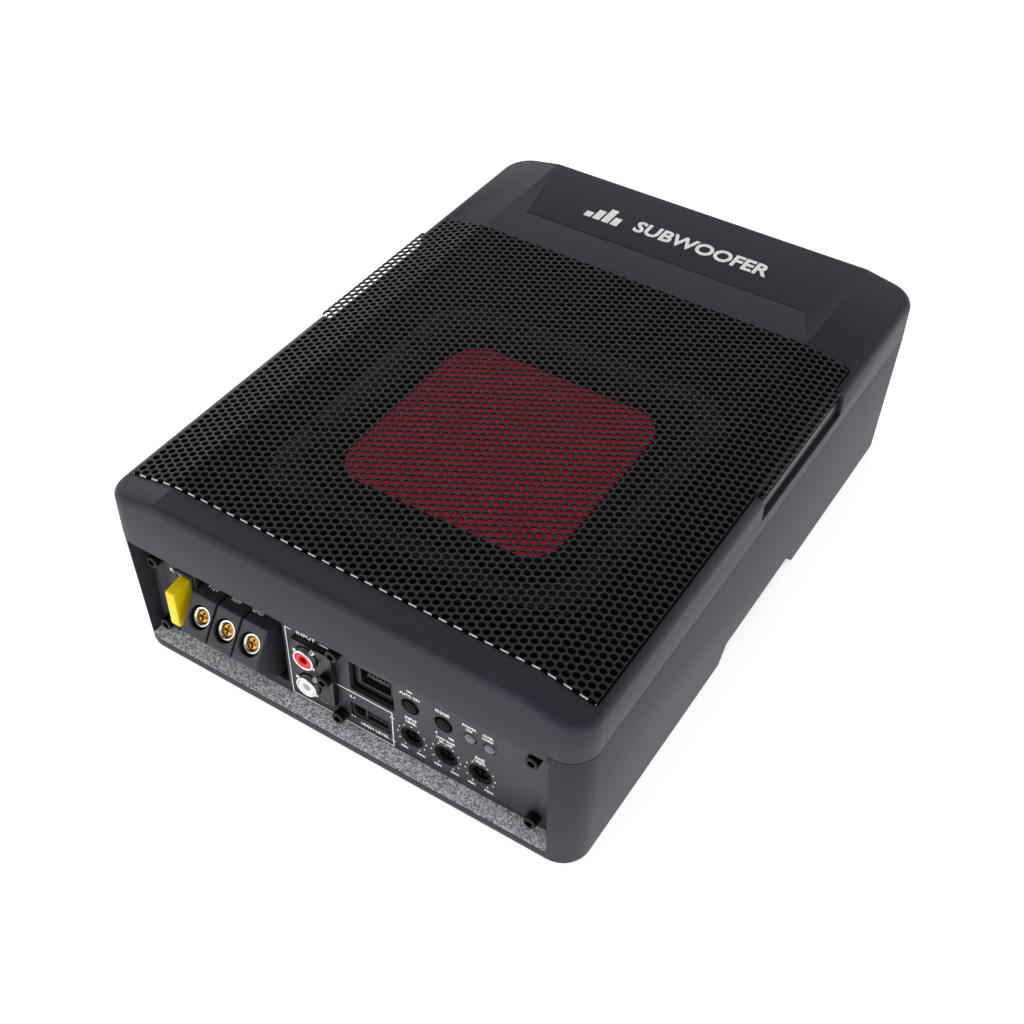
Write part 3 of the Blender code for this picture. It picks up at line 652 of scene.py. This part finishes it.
def line(a, b, width, y=None, thick=0.05):
    # a printed line between two (x, z) points on the panel
    a, b = Vector(a), Vector(b)
    y = panelY if y is None else y
    length = (b - a).length
    obj = block("line", (-length / 2, -thick, -width / 2), (length / 2, 0.01, width / 2))
    obj.rotation_euler = (0, -math.atan2(b.y - a.y, b.x - a.x), 0)
    middle = (a + b) / 2
    obj.location = Vector((middle.x, y, middle.y)) * mm
    return settle(obj)


def word(text, size, place, turn=facingOut, thick=0.025, bold=0.0, wide=1.0, align="CENTER"):
    bpy.ops.object.select_all(action="DESELECT")
    bpy.ops.object.text_add()
    obj = bpy.context.object
    obj.data.body = text
    obj.data.size = size * mm
    obj.data.extrude = thick * mm
    obj.data.offset = bold * mm
    obj.data.align_x = align
    obj.data.align_y = "CENTER"
    obj.data.resolution_u = 3
    onlyThis(obj)
    bpy.ops.object.convert(target="MESH")
    obj = bpy.context.object
    obj.scale = (wide, 1, 1)
    obj.rotation_euler = turn
    obj.location = Vector(place) * mm
    settle(obj)
    startEdit(obj, "SELECT")
    bpy.ops.mesh.remove_doubles(threshold=0.000002)
    bpy.ops.mesh.normals_make_consistent(inside=False)
    endEdit()
    return obj


# ---- control panel and its screws

def makePanel():
    panel = softCopy("control_panel", "panelPlate", 0.25)
    done(panel, panelPaint, replaced=["control_panel"])


def makePanelScrews():
    # black cap screws with a hex socket
    head = {"radius": 2.35, "out": 3.8, "socket": 1.45}
    r, out = head["radius"], head["out"]
    master = turned("panelScrew1", [(1.2, -9), (1.2, 0.3), (r, 0.3), (r, out - 0.35), (r - 0.35, out),
                                    (head["socket"] + 0.3, out)], (0, 0, 0), 28, facingOut)
    combine(master, turned("tool", [(head["socket"], out - 2), (head["socket"], out + 1)],
                           (0, 0, 0), 6, facingOut))
    master.data.materials.append(blackOxide)
    for number in range(1, 7):
        node = f"panel_screw_{number}"
        spot = middle(node)
        done(copied(master, f"panelScrew{number}x", (spot.x, panelY, spot.z)), blackOxide,
             replaced=[node])
    spot = middle("rca_screw")
    done(copied(master, "jackScrew", (spot.x, cad("rca_screw")[0].y + out, spot.z)), blackOxide,
         replaced=["rca_screw"])
    bpy.data.objects.remove(master)


# ---- screw terminals

terminal = {"top": (-119.1, 34.6), "low": (-127.4, 22.9), "nose": (-125.6, 19.6), "under": (-117.3, 10.0),
            "gap": 0.9, "recess": 4.3, "depth": 3.4, "wireHalf": 4, "wireY": (-140, -107),
            "wireZ": (11.8, 17.7), "bore": (2.5, 14.8)}


def terminalBody(name, x0, x1, inset):
    low, high = cad("terminal_block")
    obj = block(name, (x0, low.y - 1, low.z + inset), (x1, high.y, high.z - inset))
    cuts = [(terminal["low"], terminal["top"]), (terminal["nose"], terminal["low"]),
            (terminal["under"], terminal["nose"])]
    startEdit(obj)
    for (y0, z0), (y1, z1) in cuts:
        out = Vector((0, -(z1 - z0), y1 - y0)).normalized()
        spot = Vector((0, y0, z0)) - out * inset
        bpy.ops.mesh.select_all(action="SELECT")
        bpy.ops.mesh.bisect(plane_co=spot * mm, plane_no=out, use_fill=True, clear_outer=True)
    endEdit()
    return obj


def makeTerminals():
    low, high = cad("terminal_block")
    pitch = (high.x - low.x) / 3
    faceAngle = math.degrees(math.atan2(terminal["top"][1] - terminal["low"][1],
                                        terminal["top"][0] - terminal["low"][0]))
    tilt = tilted(faceAngle)
    faceMiddle = (Vector(terminal["top"]) + Vector(terminal["low"])) / 2
    bodies = [terminalBody("terminalCore", low.x + 0.6, high.x - 0.6, 0.9)]
    for number in range(3):
        x0 = low.x + pitch * number + (terminal["gap"] / 2 if number else 0)
        x1 = low.x + pitch * (number + 1) - (terminal["gap"] / 2 if number < 2 else 0)
        bodies.append(terminalBody(f"terminalCell{number + 1}", x0, x1, 0))
    for obj in bodies:
        for number in range(3):
            x = low.x + pitch * (number + 0.5)
            place = (x, faceMiddle.x, faceMiddle.y)
            r = terminal["recess"]
            combine(obj, turned("tool", [(r, -terminal["depth"]), (r, 3)], place, 32, tilt))
            half, (y0, y1), (z0, z1) = terminal["wireHalf"], terminal["wireY"], terminal["wireZ"]
            combine(obj, block("tool", (x - half, y0, z0), (x + half, y1, z1)))
            r, deep = terminal["bore"]
            combine(obj, turned("tool", [(r, -deep), (r, -2)], place, 24, tilt))
        soften(obj, 0.3, 2, 35)
    # the cells get the grey of painted light, and the core between them stays black
    done(joined("terminalCells", bodies[1:]), litGreyNylon,
         replaced=["terminal_block"])
    done(bodies[0], blackNylon, replaced=["terminal_block"])

    collar = [(2.45, -3.4), (3.5, -3.4), (3.6, -3.2), (3.6, -1.9), (3.35, -1.55), (2.95, -1.5), (2.55, -1.9),
              (2.45, -2.3), (2.45, -3.4)]
    screw = [(1.5, -11), (1.5, -4.3), (2.15, -4.1), (2.2, -3.9), (2.2, -2.7), (1.9, -2.3)]
    for number in range(1, 4):
        x = low.x + pitch * (number - 0.5)
        place = (x, faceMiddle.x, faceMiddle.y)
        ring = turned(f"terminalRing{number}", collar, place, 40, tilt)
        done(ring, nickelPlate, replaced=[f"terminal_collar_{number}"])
        post = turned(f"terminalPost{number}", screw, (0, 0, 0), 32)
        for size in ((0.42, 1.6), (1.6, 0.42)):
            combine(post, block("tool", (-size[0], -size[1], -3.6), (size[0], size[1], 0)))
        soften(post, 0.12, 2, 50)
        post.rotation_euler = tilt
        post.location = Vector(place) * mm
        settle(post)
        done(post, brassTurned, f"terminal_screw_{number}", [f"terminal_screw_{number}"])
        clamp = softCopy(f"wire_clamp_{number}", f"wirePlate{number}", 0.25)
        done(clamp, nickelPlate, f"wire_clamp_{number}", [f"wire_clamp_{number}"])


# ---- fuse in its holder

def makeFuse():
    spot, low, high = middle("fuse"), *cad("fuse")
    body = block("fuseBody", (low.x, low.y, low.z), (high.x, -112.5, high.z))
    startEdit(body)
    pick(body, "verts", lambda v: v.co.y < -120 * mm)
    bpy.ops.transform.resize(value=(1, 1, 0.86), center_override=(0, 0, spot.z * mm))
    bpy.ops.transform.resize(value=(0.86, 1, 1), center_override=(spot.x * mm, 0, 0))
    pick(body, "faces", lambda f: abs(f.normal.x) > 0.9)
    bpy.ops.mesh.inset(thickness=1.9 * mm, depth=-0.45 * mm, use_individual=True)
    endEdit()
    soften(body, 0.7, 3, 30)
    done(body, fuseClear, "fuse", ["fuse"], angle=40)
    for name, side in (("fuseBladeLow", -1), ("fuseBladeHigh", 1)):
        z = sorted((spot.z + side * 2.9, spot.z + side * 7.9))
        blade = block(name, (spot.x - 0.35, -113, z[0]), (spot.x + 0.35, high.y, z[1]))
        startEdit(blade)
        pick(blade, "verts", lambda v: v.co.y > -110 * mm)
        bpy.ops.transform.resize(value=(0.4, 1, 0.8), center_override=(spot.x * mm, 0, sum(z) / 2 * mm))
        endEdit()
        soften(blade, 0.1)
        done(blade, fuseBlade, "fuse")
    holder = softCopy("fuse_holder", "fuseHolder", 0.25)
    done(holder, blackNylon, replaced=["fuse_holder"])


# ---- line-level jacks

jack = {"out": 4.8, "outer": 4.15, "inner": 3.35, "pin": 1.6}


def makeJacks():
    housing = softCopy("rca_housing", "jackHousing", 0.3)
    done(housing, blackNylon, replaced=["rca_housing"])
    for side, finish in (("left", jackWhite), ("right", jackRed)):
        spot = middle(f"rca_jack_{side}")
        place = (spot.x, panelY, spot.z)
        top, r0, r1 = jack["out"], jack["inner"], jack["outer"]
        sleeve = turned(f"{side}JackSleeve", [(r0, -5.9), (r1, -5.9), (r1, top - 0.3), (r1 - 0.25, top),
                                              (r0 + 0.2, top), (r0, top - 0.25), (r0, -5.9)],
                        place, 40, facingOut)
        tabs = [sleeve]
        for angle in (55, 175, 295):
            tab = block("tab", (r1 - 0.3, -0.9, 2.2), (r1 + 1.5, 0.9, 2.75))
            tab.rotation_euler = (0, 0, math.radians(angle))
            settle(tab)
            tab.rotation_euler = facingOut
            tab.location = Vector(place) * mm
            tabs.append(settle(tab))
        sleeve = joined(f"{side}JackSleeve", tabs)
        soften(sleeve, 0.12, 2, 50)
        done(sleeve, nickelPlate, replaced=[f"rca_jack_{side}"])
        pin = jack["pin"]
        insert = turned(f"{side}JackInsert", [(pin, -5.9), (r0 - 0.05, -5.9), (r0 - 0.05, top - 0.5),
                                              (r0 - 0.4, top - 0.2), (pin + 0.4, top - 0.2),
                                              (pin, top - 0.5), (pin, -5.9)], place, 40, facingOut)
        done(insert, finish,
             replaced=[f"rca_jack_{side}"])
        contact = turned(f"{side}JackContact", [(pin - 0.1, -5.5), (pin - 0.1, -1.0), (pin - 0.4, -1.0),
                                                (pin - 0.4, -5.2)], place, 20, facingOut)
        done(contact, nickelPlate)


# ---- remote and high-level sockets

tongue = {"x": (4.4, 13.4), "y": (-113.4, -106.2), "z": (29.6, 30.8)}
pin = {"count": 6, "first": 5.0, "step": 1.5, "wide": 0.7, "y": (-113.2, -106.4), "z": (30.7, 31.0)}
rib = {"x": (5.0, 14.2), "z": (12.1, 16.4), "back": -107.2, "post": 0.7, "shelves": (13.25, 14.75),
       "shelf": 0.45, "bars": (7.8, 9.9, 12.0), "bar": 0.35}


def corners(x, y, z):
    return zip(x, y, z)


def makeSockets():
    remote = softCopy("remote_socket", "remoteSocket", 0.25)
    done(remote, blackNylon, replaced=["remote_socket"])
    shelf = block("remoteTongue", *corners(**tongue))
    soften(shelf, 0.2)
    done(shelf, litGreyNylon)
    pins = []
    for number in range(pin["count"]):
        x = pin["first"] + number * pin["step"]
        pins.append(block("pin", *corners((x, x + pin["wide"]), pin["y"], pin["z"])))
    pins = joined("remoteContacts", pins)
    soften(pins, 0.06, 1)
    done(pins, brassTurned)

    high = softCopy("high_level_socket", "highLevelSocket", 0.25)
    done(high, blackNylon, replaced=["high_level_socket"])
    (x0, x1), back, post = rib["x"], rib["back"], rib["x"][0] + rib["post"]
    ribs = [block("rib", *corners((x0, post), (panelY + 0.8, back), rib["z"]))]
    for z in rib["shelves"]:
        ribs.append(block("rib", *corners((post, x1), (panelY + 1.2, back), (z, z + rib["shelf"]))))
    for x in rib["bars"]:
        ribs.append(block("rib", *corners((x, x + rib["bar"]), (panelY + 1.6, back), rib["z"])))
    ribs = joined("highLevelRibs", ribs)
    soften(ribs, 0.08, 1)
    done(ribs, litGreyNylon)


# ---- trim pots, push switches and lamps

def makeControls():
    for name in ("gain", "filter", "boost"):
        low, high = cad(f"{name}_pot_body")
        spot = middle(f"{name}_pot_body")
        place = (spot.x, panelY, spot.z)
        # the pot's body and rotor are near-black: painted shade of their deep recess in the panel
        body = turned(f"{name}PotBody", [(2.9, -12.5), (4.1, -12.5), (4.1, -0.5), (3.9, -0.25),
                                         (3.3, -0.25), (2.9, -0.8), (2.9, -12.5)], place, 40, facingOut)
        done(body, shadeBlack, replaced=[f"{name}_pot_body"])
        rotor = turned(f"{name}PotRotor", [(2.6, -11.9), (2.6, -1.9), (2.3, -1.6)], (0, 0, 0), 32)
        combine(rotor, block("tool", (-0.45, -3, -3.4), (0.45, 3, 0)))
        combine(rotor, block("tool", (-1.5, -0.45, -2.5), (1.5, 0.45, 0)))
        soften(rotor, 0.1, 2, 50)
        rotor.rotation_euler = facingOut
        rotor.location = Vector(place) * mm
        settle(rotor)
        done(rotor, shadeBlack, f"{name}_pot_rotor", [f"{name}_pot_rotor"])
    for name in ("auto_on", "phase"):
        spot = middle(f"{name}_button")
        place = (spot.x, panelY, spot.z)
        cap = turned(name.replace("_", "") + "Cap", [(2.6, -8.6), (2.6, -0.3), (2.45, 0.15), (2.0, 0.45),
                                                     (1.2, 0.6), (0.5, 0.62)], place, 32, facingOut)
        done(cap, shadeBlack, f"{name}_button", [f"{name}_button"])
        body = softCopy(f"{name}_switch_body", name.replace("_", "") + "SwitchBody", 0.2)
        done(body, shadeBlack, replaced=[f"{name}_switch_body"])
    for name in ("power", "protect"):
        spot = middle(f"{name}_led")
        place = (spot.x, panelY, spot.z)
        lamp = turned(f"{name}Lamp", [(2.0, -12.4), (2.0, -3.4), (2.8, -3.4), (2.8, -2.4), (2.0, -2.4),
                                      (2.0, -0.2), (1.9, 0.3), (1.5, 0.68), (0.9, 0.86), (0.4, 0.9)],
                      place, 32, facingOut)
        done(lamp, ledEpoxy, replaced=[f"{name}_led"])
        cup = turned(f"{name}LampCup", [(0.5, -4.0), (1.1, -3.9), (1.4, -2.6), (1.25, -2.6), (0.9, -3.6),
                                        (0.4, -3.7)], place, 20, facingOut)
        done(cup, nickelPlate)


# ---- printing on the panel and the mark on the rear deck

def makePrinting():
    def printed(name, pieces):
        return done(joined(name, pieces), whiteInk)

    def label(text, x, z, size=1.7, **how):
        return word(text, size * 1.1, (x, panelY - 0.03, z), bold=0.05, **how)

    outline = [(-22.8, 39.0), (-25.3, 39.0), (-25.3, 5.6), (16.5, 5.6), (16.5, 22.9), (-5.8, 22.9),
               (-6.4, 24.4), (-6.4, 33.6)]
    lines = [line(a, b, 0.38) for a, b in zip(outline, outline[1:])]
    lines.append(line((-11.2, 39.0), (-7.6, 39.0), 0.38))
    lines += [line((15.6, 20.6), (17.4, 20.6), 0.38), line((15.6, 8.6), (17.4, 8.6), 0.38)]
    printed("panelOutline", lines)
    words = [label("FUSE", -72.6, 37.0, 1.9), label("INPUT", -16.8, 39.0, 2.0, wide=1.25),
             label("REMOTE", 8.2, 40.7, 1.9, wide=1.15), label("R", -20.6, 36.2, 1.3),
             label("L", -20.2, 12.0, 1.3), label("LOW LEVEL", -13.6, 9.6, 1.3),
             label("HIGH LEVEL", 9.0, 8.6, 1.7, wide=1.15), label("R +", 0.7, 20.3, 1.4),
             label("L +", 0.4, 10.2, 1.1), label("AUTO ON", 24.0, 36.6, 1.5), label("ON", 24.0, 38.8, 1.2),
             label("PHASE", 36.4, 36.8, 1.7), label("0", 33.9, 25.6, 1.4), label("180", 39.4, 25.9, 1.4),
             label("POWER", 46.3, 36.8, 1.35), label("ON", 46.3, 35.2, 1.35),
             label("OVER", 53.2, 36.8, 1.35), label("LOAD", 53.2, 35.2, 1.35),
             label("INPUT", 24.1, 25.0, 1.5), label("LEVEL", 24.1, 23.2, 1.5),
             label("LOW PASS", 37.3, 23.6, 1.35), label("50 - 150", 37.3, 22.0, 1.35),
             label("BASS", 50.3, 23.6, 1.5), label("LEVEL", 50.3, 21.9, 1.5)]
    pots = [middle(f"{name}_pot_body") for name in ("gain", "filter", "boost")]
    for x, _, z in pots:
        words += [label("MIN", x - 3.2, 8.8, 1.4), label("MAX", x + 3.4, 8.8, 1.4)]
    blockTop = cad("terminal_block")[1].z
    flat = (0, 0, 0)   # lies on a top face, read from the front
    for text, x in (("+12V", -58.4), ("REM", -48.4), ("GND", -39.2)):
        words.append(word(text, 2.1, (x, -114.2, blockTop + 0.03), flat, bold=0.06))
    printed("panelWords", words)
    scale = {"radius": 5.6, "dots": 11, "first": -60, "step": 30, "dot": 0.3}
    ticks = []
    for x, _, z in pots:
        for number in range(scale["dots"]):
            angle = math.radians(scale["first"] + number * scale["step"])
            place = (x + scale["radius"] * math.cos(angle), panelY, z + scale["radius"] * math.sin(angle))
            ticks.append(turned("tick", [(scale["dot"], -0.02), (scale["dot"], 0.05)], place, 8, facingOut))
    printed("panelTicks", ticks)

    # generic mark: rising bars and the word for what it is
    deck = cad("top_cover")[1].z
    mark = [word("SUBWOOFER", 10.2, (9.5, 99.8, deck + 0.1), flat, 0.2, 0.25, 0.94)]
    for number, tall in enumerate((3.4, 6.6, 9.6, 5.2)):
        x = -40.5 + number * 4.0
        mark.append(block("bar", (x, 95.6, deck - 0.1), (x + 3.0, 95.6 + tall, deck + 0.3)))
    done(joined("deckMark", mark), whiteInk)


makePanel()
makePanelScrews()
makeTerminals()
makeFuse()
makeJacks()
makeSockets()
makeControls()
print("panel parts made")
makePrinting()
print("printing made")


# ---- woofer and the rest of the inside

def makeWoofer():
    low, high = cad("diaphragm")
    plate = block("diaphragmPlate", low, high)
    startEdit(plate)
    pick(plate, "edges", upright)
    bpy.ops.mesh.bevel(offset=13 * mm, segments=12, affect="EDGES")
    pick(plate, "faces", lambda f: f.normal.z > 0.9)
    bpy.ops.mesh.inset(thickness=3.0 * mm, depth=0)
    bpy.ops.transform.translate(value=(0, 0, -0.5 * mm))
    endEdit()
    soften(plate, 0.4, 3, 20)
    done(plate, redPlate, "moving_cone", ["diaphragm"])

    ring = softCopy("clamp_ring", "clampRing", 0.3)
    done(ring, blackSteel, replaced=["clamp_ring"])
    low, high = cad("clamp_ring")
    centre = (low + high) / 2
    half = (high.x - low.x) / 2 - 4.2
    screws = []
    for x, y in ((-1, -0.5), (-1, 0.5), (1, -0.5), (1, 0.5), (-0.5, -1), (0.5, -1), (-0.5, 1), (0.5, 1)):
        head = turned("screw", [(2.6, 0.0), (2.6, 0.5), (2.2, 1.2), (1.4, 1.6)],
                      (centre.x + x * half, centre.y + y * half, high.z), 20)
        combine(head, block("tool", (centre.x + x * half - 0.4, centre.y + y * half - 1.5, high.z + 0.7),
                            (centre.x + x * half + 0.4, centre.y + y * half + 1.5, high.z + 3)))
        screws.append(head)
    done(joined("clampScrews", screws), blackOxide)

    for side in ("left", "right"):
        trim = softCopy(f"side_trim_{side}", f"sideTrim{side.title()}", 0.3)
        done(trim, blackNylon, replaced=[f"side_trim_{side}"])
    for node, name in (("woofer_basket", "wooferBasket"), ("baffle", "bafflePlate")):
        obj = softCopy(node, name, 0.3)
        done(obj, blackSteel if node == "woofer_basket" else fibreBoard, replaced=[node])


def finishInside():
    # solids that stay as the CAD made them get their finish here
    finishes = {"surround": rollRubber, "cone": paperCone, "spider": resinCloth, "voice_coil": coilWire,
                "magnet": ferrite, "top_plate": nickelPlate, "back_plate": nickelPlate,
                "case_gasket": rollRubber, "control_board": solderMask, "amplifier_board": solderMask,
                "capacitor_1": sleeveVinyl, "capacitor_2": sleeveVinyl, "heat_sink": sinkAluminium,
                "speaker_lead": leadVinyl}
    for node, finish in finishes.items():
        slots = nodes[node].data.materials
        slots.clear()
        slots.append(finish)


makeWoofer()
finishInside()
print("woofer and inside made")
